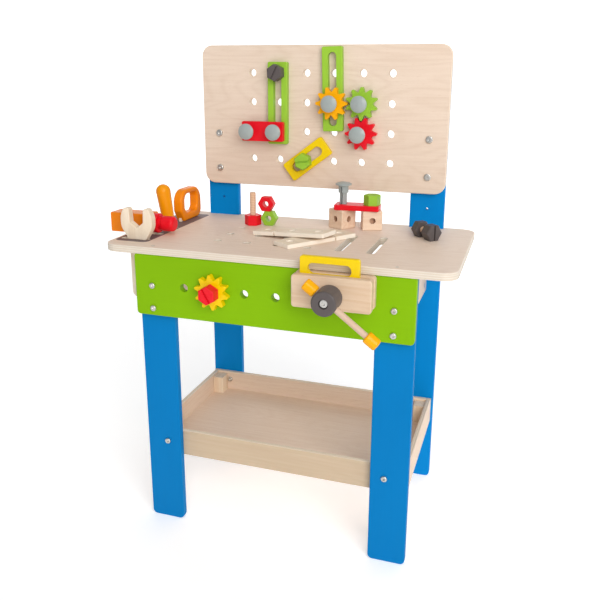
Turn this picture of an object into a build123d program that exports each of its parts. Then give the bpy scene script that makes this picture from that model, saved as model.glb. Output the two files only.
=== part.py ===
from build123d import *
import os
from math import cos, pi, radians, sin, sqrt

# Work frame: X across the bench from its middle, Y back from the apron's front face, Z up from the floor.

# tabletop
table_width = 558.0
table_depth = 298.0
table_thick = 12.0
table_height = 490.0
table_overhang = 4.0
table_end_overhang = 55.0
table_corner = 24.0
board_edge_round = 1.5

# apron, legs and side panels
apron_height = 101.0
apron_thick = 12.0
apron_corner = 6.0
leg_width = 60.0
leg_thick = 12.0
leg_inset = 0.5
leg_foot_round = 8.0
post_hole_dia = 4.6
post_hole_above_top = 34.0
notch_clearance = 0.4
side_thick = 12.0
side_height = 101.0

# pegboard and its even hole grid
bench_height = 800.0
peg_width = 449.0
peg_above_top = 62.0
peg_thick = 12.0
peg_corner = 19.0
peg_columns = 6
peg_rows = 4
grid_pitch = 50.6
grid_hole_dia = 13.4
grid_rise = 0.9
post_below_top = 20.0

# tabletop holes and slots
top_hole_columns = 4
top_hole_rows = 3
top_slot_count = 2
top_first_x = -112.5
top_first_y = 74.5
apron_hole_count = 4
apron_hole_first_x = -138.5
apron_hole_below_top = 50.0

# lower tray
tray_inset = 3.5
tray_height = 45.0
tray_floor_height = 120.0
tray_wall = 8.0
tray_floor_thick = 8.0
tray_block_width = 20.0
tray_block_depth = 25.0
tray_block_height = 33.0
tray_bolt_inset = 7.2
tray_bolt_above_floor = 28.7

# fasteners
bolt_dia = 6.0
bolt_head_dia = 9.8
peg_bolt_head_dia = 12.2
bolt_head_height = 3.4
bolt_socket_dia = 4.2
bolt_socket_depth = 2.2
bolt_length = 50.0
bolt_hole_clearance = 0.15
barrel_dia = 10.0
barrel_from_end = 18.0
apron_bolt_rise = (12.5, 50.0)
peg_bolt_length = 22.0
peg_bolt_rise = (29.0, 93.0)
screw_head_dia = 6.0
screw_head_height = 2.0
screw_head_drop = 0.4
screw_dia = 3.5
screw_hole_gap = 0.1
screw_length = 32.0
screw_y = 7.5

# vise
vise_inset = 116.0
vise_screw_below_top = 40.5
jaw_width = 118.0
jaw_height = 49.0
jaw_thick = 12.0
jaw_round = 5.0
jaw_edge_round = 2.0
jaw_top_gap = 0.5
jaw_contact_gap = 0.05
vise_travel = 30.0
screw_outer_dia = 18.0
screw_running_gap = 0.3
screw_tail_spare = 16.0
nut_block_size = 44.0
nut_block_thick = 16.0
guide_pin_dia = 10.0
guide_pin_offset = 42.0
guide_pin_blind = 8.0
guide_pin_spare = 14.0
guide_running_gap = 0.25
knob_dia = 36.5
knob_length = 37.0
knob_edge_round = 2.5
knob_gap = 0.4
knob_socket_depth = 16.0
knob_counterbore_dia = 14.0
knob_counterbore_depth = 8.0
knob_bolt_head_dia = 11.0
knob_bolt_head_height = 5.0
knob_bolt_dia = 5.0
knob_bolt_short = 1.0
tommy_dia = 9.2
tommy_from_front = 15.5
tommy_slope = 37.4
tommy_running_gap = 0.2
tommy_cap_dia = 18.0
tommy_cap_length = 20.0
tommy_cap_round = 2.6
tommy_cap_socket = 13.0
tommy_long_reach = 83.0
tommy_stop_gap = 0.6
grip_plate_above = 25.0
grip_plate_shift = -5.8

# building pieces
plate_length = 88.0
plate_width = 36.0
plate_thick = 9.0
plate_slot_length = 65.0
plate_slot_width = 17.0
plate_corner = 3.5
bar_length = 142.0
bar_width = 36.0
bar_thick = 11.0
bar_slot_length = 124.0
bar_slot_width = 14.8
bar_corner = 2.8
short_bar_length = 78.0
short_bar_width = 34.5
piece_edge_round = 1.0
gear_teeth = 10
gear_tip_radius = 28.0
gear_root_radius = 20.0
gear_tip_half = 0.062
gear_root_half = 0.25
gear_tooth_round = 1.2
gear_thick = 10.0
gear_play = 0.3
rivet_head_dia = 28.0
rivet_head_height = 5.6
rivet_rim = 2.4
rivet_collar_dia = 17.6
rivet_collar_length = 13.0
rivet_shank_dia = 12.8
rivet_shank_length = 29.0
rivet_split = 2.6
green_rivet_pull = 5.0
red_rivet_pull = 11.0
hex_flats = 25.5
hex_head_height = 18.0
hex_chamfer = 1.2
hex_slot_width = 3.0
hex_slot_depth = 3.0
hex_shank_dia = 10.0
hex_shank_length = 40.0
hex_shank_gap = 0.4
nut_height = 14.0
left_bar_rise = 2.1
centre_bar_rise = 23.5
centre_bar_turn = 1.7
peg_plate_turn = 37.0
peg_plate_shift = 5.5
yellow_gear_turn = 12.0
dark_peg_bolt_turn = -27.0
green_peg_bolt_turn = 98.0
red_apron_bolt_turn = 30.0

# planks, cubes and the set-down pieces
plank_length = 140.0
plank_width = 40.0
plank_thick = 7.0
plank_kerf_width = 3.6
plank_kerf_depth = 14.0
plank_kerf_from_end = 44.0
cube_size = 34.0
cube_hole_dia = 10.5
cube_hole_depth = 9.0
cube_round = 1.6
rest_gap = 0.05
red_bolt_turn = -42.0
red_nut_shift = -5.2
lower_plank_turn = 55.5
upper_plank_turn = -15.8
upper_plank_tilt = 5.1
cube_left_turn = -30.5
cube_right_turn = 19.0
red_plank_turn = 4.0
green_bolt_turn = 74.0
loose_rivet_turn = -14.0
dark_bolt_turn = 42.5
dark_nut_gap = 16.0

# hand tools and their slots
tool_slot_inset = 34.0
tool_slot_length = 52.0
tool_slot_width = 12.4
tool_slot_gap = 0.5
tool_handle_thick = 11.4
wrench_shift = 6.0
wrench_y = 43.0
wrench_head_width = 57.0
wrench_head_height = 51.0
wrench_head_thick = 13.5
wrench_neck_width = 32.0
wrench_jaw = 23.5
wrench_jaw_depth = 27.5
wrench_vee_rise = 4.5
wrench_prong_taper = 6.0
wrench_edge_round = 1.4
wrench_handle_root = 8.0
wrench_handle_round = 9.0
wrench_handle_width = 28.0
wrench_handle_drop = 98.0
hammer_shift = -3.0
hammer_y = 86.0
hammer_block = 33.0
hammer_block_left = 60.0
hammer_block_right = 13.0
hammer_neck_dia = 21.0
hammer_neck_length = 4.0
hammer_collar_length = 12.0
hammer_face_dia = 25.5
hammer_face_length = 24.0
hammer_face_round = 5.0
hammer_handle_width = 22.0
hammer_handle_drop = 128.0
hammer_socket_depth = 24.0
hammer_shoulder = 2.0
hammer_shoulder_height = 2.2
driver_shift = 9.5
driver_y = 140.0
driver_lean = 8.5
driver_handle_dia = 25.0
driver_handle_length = 74.5
driver_collar_dia = 20.5
driver_tip_thick = 3.0
driver_tip_length = 14.0
driver_shaft_dia = 9.0
driver_shaft_length = 92.0
saw_shift = 5.0
saw_front_y = 180.0
saw_handle_length = 80.0
saw_handle_thick = 17.0
saw_handle_round = 3.8
saw_outer_corners = (
    (13.0, 0.0, 5.0),
    (80.0, 0.0, 15.0),
    (80.0, 58.0, 26.0),
    (0.0, 58.0, 24.0),
    (0.0, 20.0, 9.0),
)
saw_inner_corners = (
    (24.0, 14.0, 5.0),
    (64.0, 14.0, 11.0),
    (64.0, 49.0, 12.0),
    (14.0, 49.0, 13.0),
    (15.0, 24.0, 5.0),
)
saw_blade_thick = 5.0
saw_blade_length = 62.0
saw_blade_drop = 92.0
saw_blade_socket = 10.0
saw_tooth_pitch = 8.0
saw_tooth_depth = 3.5

# set-down pieces: X from the middle of the bench, and how far they stand in front of the pegboard
red_bolt_spot = (-104.6, 62.0)
green_nut_spot = (-75.2, 63.0)
lower_plank_spot = (38.4, 148.1)
upper_plank_spot = (-73.9, 141.5)
cube_left_spot = (52.0, 31.3)
cube_right_spot = (103.6, 26.7)
red_plank_spot = (79.6, 33.0)
dark_bolt_spot = (222.0, 88.0)

# places that follow from the sizes above
apron_width = table_width - 2 * table_end_overhang
leg_span = apron_width - 2 * leg_inset
table_front_y = -table_overhang
table_back_y = table_depth - table_overhang
table_under = table_height - table_thick
front_leg_y = apron_thick
front_leg_back_y = front_leg_y + leg_thick
rear_leg_y = table_back_y - leg_thick
leg_x = (leg_span - leg_width) / 2
vise_x = apron_width / 2 - vise_inset
apron_bottom = table_under - apron_height
peg_front_y = rear_leg_y - peg_thick
peg_bottom = table_height + peg_above_top
peg_height = bench_height - peg_bottom
post_height = bench_height - post_below_top
post_hole_height = table_height + post_hole_above_top
grid_left_x = -grid_pitch * (peg_columns - 1) / 2
grid_top_z = peg_bottom + peg_height / 2 + grid_pitch * (peg_rows - 1) / 2 + grid_rise
apron_hole_z = table_under - apron_hole_below_top
vise_screw_height = table_height - vise_screw_below_top
jaw_top = table_under - jaw_top_gap
jaw_middle = jaw_top - jaw_height / 2
plate_back_y = -jaw_thick - jaw_contact_gap
plate_front_y = plate_back_y - plate_thick
jaw_back_y = plate_front_y - jaw_contact_gap
jaw_front_y = jaw_back_y - jaw_thick
knob_back_y = jaw_front_y - knob_gap
knob_front_y = knob_back_y - knob_length
tommy_y = knob_front_y + tommy_from_front
bar_front_y = peg_front_y - bar_thick
peg_plate_y = peg_front_y - plate_thick
hex_corner_radius = hex_flats / sqrt(3)
tray_width = leg_span - 2 * tray_inset
tray_bolt_x = leg_x - tray_bolt_inset
tray_bolt_height = tray_floor_height + tray_bolt_above_floor
tray_top = tray_floor_height + tray_height
tray_front_y = front_leg_back_y
tray_back_y = rear_leg_y
apron_gear_x = apron_hole_first_x + grid_pitch
apron_gear_front_y = -gear_play - gear_thick
apron_bolt_seat_y = apron_gear_front_y - gear_play
peg_gear_front_y = peg_front_y - gear_play - gear_thick
bolt_hole_dia = bolt_dia + 2 * bolt_hole_clearance
screw_hole_dia = screw_dia + 2 * screw_hole_gap
screw_bore_dia = screw_outer_dia + 2 * screw_running_gap
hex_bore_dia = hex_shank_dia + 2 * hex_shank_gap
tool_slot_x = tool_slot_inset - table_width / 2
wrench_x = tool_slot_x + wrench_shift
hammer_x = tool_slot_x + hammer_shift
driver_x = tool_slot_x + driver_shift
saw_x = tool_slot_x + saw_shift
surface = table_height + rest_gap
red_plank_under = surface + cube_size + rest_gap
red_plank_top = red_plank_under + plate_thick


def grid_x(column):
    return grid_left_x + column * grid_pitch


def grid_z(row):
    return grid_top_z - row * grid_pitch


def block(x0, x1, y0, y1, z0, z1):
    return Pos((x0 + x1) / 2, (y0 + y1) / 2, (z0 + z1) / 2) * Box(x1 - x0, y1 - y0, z1 - z0)


def rod_y(x, z, y0, y1, dia):
    return Pos(x, (y0 + y1) / 2, z) * Rot(90, 0, 0) * Cylinder(dia / 2, y1 - y0)


def rod_z(x, y, z0, z1, dia):
    return Pos(x, y, (z0 + z1) / 2) * Cylinder(dia / 2, z1 - z0)


def rod_x(y, z, x0, x1, dia):
    return Pos((x0 + x1) / 2, y, z) * Rot(0, 90, 0) * Cylinder(dia / 2, x1 - x0)


# Upright board, its front face on Y 0, centred on X and Z, with rounded corners and edges.
def front_board(width, height, thick, corner, edge_round):
    outline = RectangleRounded(width, height, corner)
    board = extrude(Plane.XZ * outline, amount=-thick)
    rims = board.edges().filter_by_position(Axis.Y, -0.01, 0.01) + board.edges().filter_by_position(
        Axis.Y, thick - 0.01, thick + 0.01)
    return fillet(rims, edge_round)


# Flat board, its underside on Z 0, centred on X and Y, with rounded corners and edges.
def flat_board(length, width, thick, corner, edge_round):
    board = extrude(RectangleRounded(length, width, corner), amount=thick)
    rims = board.edges().filter_by_position(Axis.Z, -0.01, 0.01) + board.edges().filter_by_position(
        Axis.Z, thick - 0.01, thick + 0.01)
    return fillet(rims, edge_round)


# Slot through an upright board, its long way along X before turning.
def upright_slot(length, width, thick):
    return Pos(0, thick / 2, 0) * extrude(Plane.XZ * SlotOverall(length, width), amount=thick, both=True)


def tool_slot(x, y):
    slot = extrude(SlotOverall(tool_slot_length, tool_slot_width), amount=table_thick, both=True)
    return Pos(x, y, table_under) * slot


def saw_slot():
    length = saw_blade_length + 2 * tool_slot_gap
    width = saw_blade_thick + 2 * tool_slot_gap
    middle = saw_front_y + saw_handle_length / 2
    return block(saw_x - width / 2, saw_x + width / 2, middle - length / 2, middle + length / 2,
                 table_under - 1, table_height + 1)


def make_tabletop():
    top = flat_board(table_width, table_depth, table_thick, table_corner, board_edge_round)
    top = Pos(0, table_front_y + table_depth / 2, table_under) * top
    for side in (-1, 1):
        half = leg_width / 2 + notch_clearance
        top -= block(side * leg_x - half, side * leg_x + half, rear_leg_y - notch_clearance, table_back_y + 5,
                     table_under - 1, table_height + 1)
        top -= rod_z(side * leg_x, screw_y, table_under - 1, table_height + 1, screw_hole_dia)
        top -= rod_z(side * leg_x, screw_y, table_height - screw_head_height, table_height + 1,
                     screw_head_dia + 2 * screw_hole_gap)
    for column in range(top_hole_columns):
        for row in range(top_hole_rows):
            top -= rod_z(top_first_x + column * grid_pitch, top_first_y + row * grid_pitch, table_under - 1,
                         table_height + 1, grid_hole_dia)
    slot_reach = grid_pitch * (top_hole_rows - 1)
    for number in range(top_slot_count):
        slot = extrude(SlotCenterToCenter(slot_reach, grid_hole_dia), amount=table_thick, both=True)
        x = top_first_x + (top_hole_columns + number) * grid_pitch
        top -= Pos(x, top_first_y + slot_reach / 2, table_under) * Rot(0, 0, 90) * slot
    top -= tool_slot(tool_slot_x, wrench_y)
    top -= tool_slot(tool_slot_x, hammer_y)
    top -= tool_slot(tool_slot_x, driver_y)
    top -= saw_slot()
    return top


def make_apron():
    apron = front_board(apron_width, apron_height, apron_thick, apron_corner, board_edge_round)
    apron = Pos(0, 0, apron_bottom + apron_height / 2) * apron
    for side in (-1, 1):
        for rise in apron_bolt_rise:
            apron -= rod_y(side * leg_x, apron_bottom + rise, -1, apron_thick + 1, bolt_hole_dia)
        apron -= rod_z(side * leg_x, screw_y, table_under - screw_length, table_under + 1,
                       screw_hole_dia)
        apron -= rod_y(vise_x + side * guide_pin_offset, vise_screw_height, -1, apron_thick + 1,
                       guide_pin_dia + 2 * guide_running_gap)
    for number in range(apron_hole_count):
        x = apron_hole_first_x + number * grid_pitch
        apron -= rod_y(x, apron_hole_z, -1, apron_thick + 1, grid_hole_dia)
    apron -= rod_y(vise_x, vise_screw_height, -1, apron_thick + 1, screw_bore_dia)
    return apron


def frame_bolt_heights():
    return [apron_bottom + rise for rise in apron_bolt_rise]


def make_front_leg(side):
    leg = front_board(leg_width, table_under, leg_thick, leg_foot_round, board_edge_round)
    leg = Pos(side * leg_x, front_leg_y, table_under / 2) * leg
    for z in frame_bolt_heights():
        leg -= rod_y(side * leg_x, z, front_leg_y - 1, front_leg_back_y + 1, bolt_hole_dia)
    leg -= rod_y(side * tray_bolt_x, tray_bolt_height, front_leg_y - 1,
                 front_leg_back_y + 1, bolt_hole_dia)
    return leg


def make_rear_leg(side):
    leg = front_board(leg_width, post_height, leg_thick, leg_foot_round, board_edge_round)
    leg = Pos(side * leg_x, rear_leg_y, post_height / 2) * leg
    for z in frame_bolt_heights():
        leg -= rod_y(side * leg_x, z, rear_leg_y - 1, table_back_y + 1, bolt_hole_dia)
    for rise in peg_bolt_rise:
        leg -= rod_y(side * leg_x, peg_bottom + rise, rear_leg_y - 1, table_back_y + 1, bolt_hole_dia)
    leg -= rod_y(side * tray_bolt_x, tray_bolt_height, rear_leg_y - 1, table_back_y + 1,
                 bolt_hole_dia)
    leg -= rod_y(side * leg_x, post_hole_height, rear_leg_y - 1, table_back_y + 1, post_hole_dia)
    return leg


def make_side_panel(side):
    panel = block(side * leg_x - side_thick / 2, side * leg_x + side_thick / 2, front_leg_back_y, rear_leg_y,
                  table_under - side_height, table_under)
    for z in frame_bolt_heights():
        panel -= rod_y(side * leg_x, z, front_leg_back_y - 1, front_leg_y + bolt_length + 2, bolt_hole_dia)
        panel -= rod_y(side * leg_x, z, table_back_y - bolt_length - 2, rear_leg_y + 1, bolt_hole_dia)
        for y in (front_leg_back_y + barrel_from_end, rear_leg_y - barrel_from_end):
            panel -= rod_x(y, z, side * leg_x - side_thick, side * leg_x + side_thick, barrel_dia)
    return panel


def make_pegboard():
    board = front_board(peg_width, peg_height, peg_thick, peg_corner, board_edge_round)
    board = Pos(0, peg_front_y, peg_bottom + peg_height / 2) * board
    for column in range(peg_columns):
        for row in range(peg_rows):
            board -= rod_y(grid_x(column), grid_z(row), peg_front_y - 1, rear_leg_y + 1, grid_hole_dia)
    for side in (-1, 1):
        for rise in peg_bolt_rise:
            board -= rod_y(side * leg_x, peg_bottom + rise, peg_front_y - 1, rear_leg_y + 1,
                           bolt_hole_dia)
    return board


def make_tray_floor():
    half = tray_width / 2 - tray_wall
    return block(-half, half, tray_front_y + tray_wall, tray_back_y - tray_wall, tray_floor_height,
                 tray_floor_height + tray_floor_thick)


def tray_bolt_hole(x, y0, y1):
    return rod_y(x, tray_bolt_height, y0, y1, bolt_hole_dia)


def make_tray_long_wall(y0):
    wall = block(-tray_width / 2, tray_width / 2, y0, y0 + tray_wall, tray_floor_height, tray_top)
    wall = fillet(wall.edges().filter_by(Axis.X).sort_by(Axis.Z)[-2:], board_edge_round)
    for side in (-1, 1):
        wall -= tray_bolt_hole(side * tray_bolt_x, y0 - 1, y0 + tray_wall + 1)
    return wall


def make_tray_sides():
    sides = []
    for side in (-1, 1):
        outer = side * tray_width / 2
        inner = outer - side * tray_wall
        wall = block(min(outer, inner), max(outer, inner), tray_front_y + tray_wall, tray_back_y - tray_wall,
                     tray_floor_height, tray_top)
        sides.append(fillet(wall.edges().filter_by(Axis.Y).sort_by(Axis.Z)[-2:], board_edge_round))
    return Compound(children=sides)


def make_tray_blocks():
    blocks = []
    floor = tray_floor_height + tray_floor_thick
    for side in (-1, 1):
        outer = side * (tray_width / 2 - tray_wall)
        inner = outer - side * tray_block_width
        for y0 in (tray_front_y + tray_wall, tray_back_y - tray_wall - tray_block_depth):
            piece = block(min(outer, inner), max(outer, inner), y0, y0 + tray_block_depth, floor,
                          floor + tray_block_height)
            piece = fillet(piece.edges().filter_by(Axis.Z), board_edge_round)
            blocks.append(piece)
    return Compound(children=blocks)


# Cap bolt along Y: head in front of y, shank running back.
def cap_bolt(x, z, y, length, facing, head_dia=bolt_head_dia):
    head = Cylinder(head_dia / 2, bolt_head_height)
    head = Pos(0, 0, bolt_head_height / 2) * head
    head = fillet(head.edges().sort_by(Axis.Z)[-1], bolt_head_height * 0.45)
    socket = extrude(RegularPolygon(bolt_socket_dia / 2, 6), amount=-bolt_socket_depth)
    head -= Pos(0, 0, bolt_head_height) * socket
    shank = Pos(0, 0, -length / 2) * Cylinder(bolt_dia / 2, length)
    bolt = head + shank
    return Pos(x, y, z) * Rot(90 * facing, 0, 0) * bolt


def make_frame_bolts():
    bolts = []
    for side in (-1, 1):
        for z in frame_bolt_heights():
            bolts.append(cap_bolt(side * leg_x, z, 0, bolt_length, 1))
            bolts.append(cap_bolt(side * leg_x, z, table_back_y, bolt_length, -1))
        z = tray_bolt_height
        reach = leg_thick + tray_wall
        bolts.append(cap_bolt(side * tray_bolt_x, z, front_leg_y, reach, 1))
        bolts.append(cap_bolt(side * tray_bolt_x, z, tray_back_y - tray_wall, reach, 1))
    return Compound(children=bolts)


def make_barrel_nuts():
    nuts = []
    for side in (-1, 1):
        for z in frame_bolt_heights():
            for y in (front_leg_back_y + barrel_from_end, rear_leg_y - barrel_from_end):
                nut = rod_x(y, z, side * leg_x - side_thick / 2, side * leg_x + side_thick / 2, barrel_dia)
                nut -= rod_y(side * leg_x, z, y - barrel_dia, y + barrel_dia, bolt_dia)
                nuts.append(nut)
    return Compound(children=nuts)


def make_peg_bolts():
    bolts = []
    for side in (-1, 1):
        for rise in peg_bolt_rise:
            bolts.append(cap_bolt(side * leg_x, peg_bottom + rise, peg_front_y, peg_bolt_length, 1,
                                  peg_bolt_head_dia))
    return Compound(children=bolts)


def make_table_screws():
    screws = []
    for side in (-1, 1):
        top = table_height - screw_head_drop
        shank = rod_z(side * leg_x, screw_y, table_height - screw_length, top, screw_dia)
        head = rod_z(side * leg_x, screw_y, table_height - screw_head_height, top, screw_head_dia)
        screws.append(shank + head)
    return Compound(children=screws)


def make_jaw(front_y):
    jaw = front_board(jaw_width, jaw_height, jaw_thick, jaw_round, jaw_edge_round)
    return Pos(vise_x, front_y, jaw_middle) * jaw


def make_fixed_jaw():
    jaw = make_jaw(-jaw_thick)
    for side in (-1, 1):
        jaw -= rod_y(vise_x + side * guide_pin_offset, vise_screw_height, -jaw_thick - 1, 1,
                     guide_pin_dia + 2 * guide_running_gap)
    jaw -= rod_y(vise_x, vise_screw_height, -jaw_thick - 1, 1, screw_bore_dia)
    return jaw


def make_nut_block():
    half = nut_block_size / 2
    piece = block(vise_x - half, vise_x + half, apron_thick, apron_thick + nut_block_thick,
                  vise_screw_height - half, vise_screw_height + half)
    piece = fillet(piece.edges().filter_by(Axis.Y), board_edge_round)
    piece -= rod_y(vise_x, vise_screw_height, apron_thick - 1, apron_thick + nut_block_thick + 1,
                   screw_bore_dia)
    return piece


def make_moving_jaw():
    jaw = make_jaw(jaw_front_y)
    jaw -= rod_y(vise_x, vise_screw_height, jaw_front_y - 1, jaw_back_y + 1, screw_bore_dia)
    for side in (-1, 1):
        jaw -= rod_y(vise_x + side * guide_pin_offset, vise_screw_height, jaw_back_y - guide_pin_blind,
                     jaw_back_y + 1, guide_pin_dia)
    return jaw


def make_guide_pins():
    pins = []
    for side in (-1, 1):
        pins.append(rod_y(vise_x + side * guide_pin_offset, vise_screw_height, jaw_back_y - guide_pin_blind,
                          apron_thick + vise_travel + guide_pin_spare, guide_pin_dia))
    return Compound(children=pins)


def make_vise_screw():
    back = apron_thick + nut_block_thick + vise_travel + screw_tail_spare
    screw = rod_y(vise_x, vise_screw_height, knob_back_y - knob_socket_depth, back, screw_outer_dia)
    return chamfer(screw.edges().sort_by(Axis.Y)[-1], 2.0)


def tommy_axis(reach):
    return (vise_x + reach * cos(radians(tommy_slope)), vise_screw_height - reach * sin(radians(tommy_slope)))


# Rod through the knob, square to the screw, measured from the screw's axis.
def tommy_rod(start, end, dia):
    middle = (start + end) / 2
    x, z = tommy_axis(middle)
    return Pos(x, tommy_y, z) * Rot(0, 90 + tommy_slope, 0) * Cylinder(dia / 2, end - start)


def tommy_hole():
    return tommy_rod(-knob_dia, knob_dia, tommy_dia + 2 * tommy_running_gap)


def make_knob():
    knob = rod_y(vise_x, vise_screw_height, knob_front_y, knob_back_y, knob_dia)
    knob = fillet(knob.edges().filter_by(GeomType.CIRCLE), knob_edge_round)
    socket_end = knob_back_y - knob_socket_depth
    knob -= rod_y(vise_x, vise_screw_height, socket_end, knob_back_y + 1, screw_outer_dia)
    knob -= rod_y(vise_x, vise_screw_height, knob_front_y - 1, knob_front_y + knob_counterbore_depth,
                  knob_counterbore_dia)
    knob -= rod_y(vise_x, vise_screw_height, knob_front_y, tommy_y, knob_bolt_dia)
    knob -= tommy_hole()
    return knob


def make_knob_bolt():
    seat = knob_front_y + knob_counterbore_depth
    head = rod_y(vise_x, vise_screw_height, seat - knob_bolt_head_height, seat, knob_bolt_head_dia)
    socket = extrude(Plane.XZ * RegularPolygon(bolt_socket_dia / 2 + 0.6, 6), amount=-bolt_socket_depth)
    head -= Pos(vise_x, seat - knob_bolt_head_height, vise_screw_height) * socket
    shank_end = tommy_y - tommy_dia / 2 - knob_bolt_short
    return head + rod_y(vise_x, vise_screw_height, seat, shank_end, knob_bolt_dia)


def tommy_short_reach():
    return -(knob_dia / 2 + tommy_stop_gap + tommy_cap_length)


def make_tommy_bar():
    start = tommy_short_reach() + tommy_cap_length - tommy_cap_socket
    end = tommy_long_reach - tommy_cap_length / 2 + tommy_cap_socket
    return tommy_rod(start, end, tommy_dia)


def make_tommy_caps():
    caps = []
    start = tommy_short_reach()
    end = tommy_long_reach - tommy_cap_length / 2
    for low, hole_low in ((start, start + tommy_cap_length - tommy_cap_socket), (end, end)):
        cap = tommy_rod(low, low + tommy_cap_length, tommy_cap_dia)
        cap = fillet(cap.edges().filter_by(GeomType.CIRCLE), tommy_cap_round)
        caps.append(cap - tommy_rod(hole_low, hole_low + tommy_cap_socket, tommy_dia))
    return Compound(children=caps)


def slotted_plate():
    plate = front_board(plate_length, plate_width, plate_thick, plate_corner, piece_edge_round)
    return plate - upright_slot(plate_slot_length, plate_slot_width, plate_thick)


def make_grip_plate():
    middle = jaw_top + grip_plate_above - plate_width / 2
    return Pos(vise_x + grip_plate_shift, plate_front_y, middle) * slotted_plate()


def slotted_bar():
    bar = front_board(bar_length, bar_width, bar_thick, bar_corner, piece_edge_round)
    return Rot(0, 90, 0) * (bar - upright_slot(bar_slot_length, bar_slot_width, bar_thick))


# The short bar lies across the left bar, held by two rivets.
def make_red_bar():
    bar = front_board(short_bar_length, short_bar_width, bar_thick, bar_corner, piece_edge_round)
    for side in (-1, 1):
        bar -= rod_y(side * grid_pitch / 2, 0, -1, bar_thick + 1, grid_hole_dia)
    return Pos((grid_x(0) + grid_x(1)) / 2, bar_front_y - bar_thick, grid_z(2)) * bar


def gear_outline():
    step = 2 * pi / gear_teeth
    outline = []

    def spot(radius, angle):
        return (radius * cos(angle), radius * sin(angle))

    for tooth in range(gear_teeth):
        middle = tooth * step
        gap = middle + step / 2
        a = spot(gear_tip_radius, middle - gear_tip_half)
        b = spot(gear_tip_radius, middle + gear_tip_half)
        c = spot(gear_root_radius, middle + gear_root_half)
        d = spot(gear_root_radius, middle + step - gear_root_half)
        e = spot(gear_tip_radius, middle + step - gear_tip_half)
        outline.append(ThreePointArc(a, spot(gear_tip_radius, middle), b))
        outline.append(Line(b, c))
        outline.append(ThreePointArc(c, spot(gear_root_radius, gap), d))
        outline.append(Line(d, e))
    face = make_face(Curve() + outline)
    return fillet(face.vertices(), gear_tooth_round)


# Spur gear about Y with its front face on Y 0.
def make_gear(bore, turn):
    gear = extrude(Plane.XZ * gear_outline(), amount=-gear_thick)
    gear -= rod_y(0, 0, -1, gear_thick + 1, bore)
    return Rot(0, turn, 0) * gear


def make_peg_gear(column, row, front_y, turn):
    return Pos(grid_x(column), front_y, grid_z(row)) * make_gear(grid_hole_dia, turn)


def make_apron_gear():
    return Pos(apron_gear_x, apron_gear_front_y, apron_hole_z) * make_gear(hex_bore_dia, yellow_gear_turn)


# Push rivet about Z: domed head above Z 0, bearing collar and split shank below.
def rivet():
    rim = Pos(0, 0, rivet_rim / 2) * Cylinder(rivet_head_dia / 2, rivet_rim)
    cap_rise = rivet_head_height - rivet_rim
    ball = ((rivet_head_dia / 2) ** 2 + cap_rise ** 2) / (2 * cap_rise)
    dome = Pos(0, 0, rivet_head_height - ball) * Sphere(ball)
    dome &= Pos(0, 0, rivet_rim + cap_rise) * Box(rivet_head_dia, rivet_head_dia, 2 * cap_rise)
    collar = Pos(0, 0, -rivet_collar_length / 2) * Cylinder(rivet_collar_dia / 2, rivet_collar_length)
    low = -rivet_collar_length - rivet_shank_length
    shank = Pos(0, 0, low + rivet_shank_length / 2) * Cylinder(rivet_shank_dia / 2, rivet_shank_length)
    shank = chamfer(shank.edges().sort_by(Axis.Z)[0], 1.2)
    body = rim + dome + collar + shank
    depth = rivet_shank_length + rivet_collar_length * 0.75
    return body - Pos(0, 0, low + depth / 2) * Box(rivet_split, rivet_head_dia, depth)


def peg_rivet(x, z, seat_y):
    return Pos(x, seat_y, z) * Rot(90, 0, 0) * rivet()


def make_peg_rivets():
    red_seat = bar_front_y - bar_thick - rivet_collar_length
    gear_stack = gear_thick + 2 * gear_play + rivet_collar_length
    rivets = [
        peg_rivet(grid_x(0), grid_z(2), red_seat),
        peg_rivet(grid_x(1), grid_z(2), red_seat),
        peg_rivet(grid_x(3), grid_z(1), bar_front_y - gear_stack),
        peg_rivet(grid_x(4), grid_z(1), peg_front_y - gear_stack - green_rivet_pull),
        peg_rivet(grid_x(4), grid_z(2), peg_front_y - gear_stack - red_rivet_pull),
    ]
    return Compound(children=rivets)


# Slotted hexagon bolt about Z: head above Z 0, round shank below.
def hex_bolt():
    head = extrude(RegularPolygon(hex_corner_radius, 6), amount=hex_head_height)
    rim = head.edges().filter_by_position(Axis.Z, hex_head_height - 0.01, hex_head_height + 0.01)
    head = chamfer(rim, hex_chamfer)
    head -= Pos(0, 0, hex_head_height) * Box(hex_slot_width, 2 * hex_flats, 2 * hex_slot_depth)
    shank = Pos(0, 0, -hex_shank_length / 2) * Cylinder(hex_shank_dia / 2, hex_shank_length)
    shank = chamfer(shank.edges().sort_by(Axis.Z)[0], 1.0)
    return head + shank


def hex_nut():
    nut = extrude(RegularPolygon(hex_corner_radius, 6), amount=nut_height)
    rims = nut.edges().filter_by_position(Axis.Z, -0.01, 0.01) + nut.edges().filter_by_position(
        Axis.Z, nut_height - 0.01, nut_height + 0.01)
    nut = chamfer(rims, hex_chamfer * 0.6)
    return nut - Pos(0, 0, nut_height / 2) * Cylinder(hex_shank_dia / 2 + hex_shank_gap, 2 * nut_height)


def bolt_into_board(x, z, seat_y, turn):
    return Pos(x, seat_y, z) * Rot(90, 0, 0) * Rot(0, 0, turn) * hex_bolt()


def nut_behind(x, z, back_y, turn):
    return Pos(x, back_y, z) * Rot(-90, 0, 0) * Rot(0, 0, turn) * hex_nut()


def make_bolt_nuts():
    nuts = [
        nut_behind(grid_x(1), grid_z(0), rear_leg_y, 0),
        nut_behind(grid_x(2), grid_z(3), rear_leg_y, 15),
        nut_behind(apron_gear_x, apron_hole_z, apron_thick, 0),
    ]
    return Compound(children=nuts)


def make_green_bar_left():
    top_end = grid_z(0) + bar_slot_width / 2
    middle = top_end - bar_slot_length / 2 + left_bar_rise
    return Pos(grid_x(1), bar_front_y, middle) * slotted_bar()


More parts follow.
